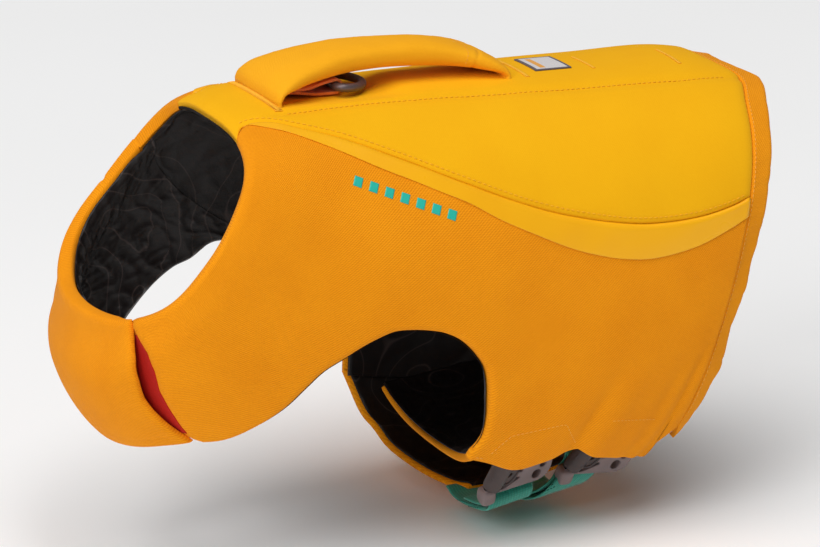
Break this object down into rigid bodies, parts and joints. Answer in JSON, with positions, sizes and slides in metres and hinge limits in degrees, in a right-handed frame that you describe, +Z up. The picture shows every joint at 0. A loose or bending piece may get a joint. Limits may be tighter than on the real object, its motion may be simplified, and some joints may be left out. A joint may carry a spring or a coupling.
{
  "type": "dog life jacket",
  "caption": "Padded buoyancy vest for a small dog, in its worn form: saddle with leg openings, chest wrap, grab handle, leash ring and buckled belly straps.",
  "frame": {"origin": "on the lining at the top of the back, where the jacket rests on the wearer's spine", "axes": "+X towards the tail, +Z up, -Y towards the wearer's left side"},
  "size_m": [0.3617, 0.1742, 0.2461],
  "materials": {
    "yellow_cloth": "matt fine woven polyester",
    "orange_cloth": "matt woven polyester with a fine diagonal weave",
    "trim_cloth": "smooth glossy coated polyester",
    "lining_cloth": "dark smooth polyester with faint thin lines",
    "handle_cloth": "matt woven polyester over foam",
    "orange_webbing": "woven webbing",
    "teal_webbing": "woven webbing",
    "ring_metal": "dark satin",
    "buckle_plastic": "satin moulded",
    "label_cloth": "fine woven label with a dark border"
  },
  "bodies": {
    "jacket": {"back_panel": "yellow_cloth", "side_left": "orange_cloth", "side_right": "orange_cloth", "chest_wrap": "orange_cloth", "rear_band": "orange_cloth", "trim_left": "trim_cloth", "trim_right": "trim_cloth", "belly_flap_left": "orange_cloth", "belly_flap_right": "orange_cloth", "lining_back": "lining_cloth", "lining_left": "lining_cloth", "lining_right": "lining_cloth", "lining_chest": "lining_cloth", "lining_flap_left": "lining_cloth", "lining_flap_right": "lining_cloth", "handle": "handle_cloth", "ring_loop": "orange_webbing", "label": "label_cloth", "buckle_front": "buckle_plastic", "buckle_rear": "buckle_plastic", "strap_front": "teal_webbing", "strap_rear": "teal_webbing"},
    "leash_ring": {"leash_ring": "ring_metal"}
  },
  "joints": [
    {"name": "leash_ring_swing", "type": "hinge", "parent": "jacket", "child": "leash_ring", "pos_m": [-0.084, 0, 0.0217], "axis": [0, -1, 0], "range_deg": [0, 13]}
  ]
}
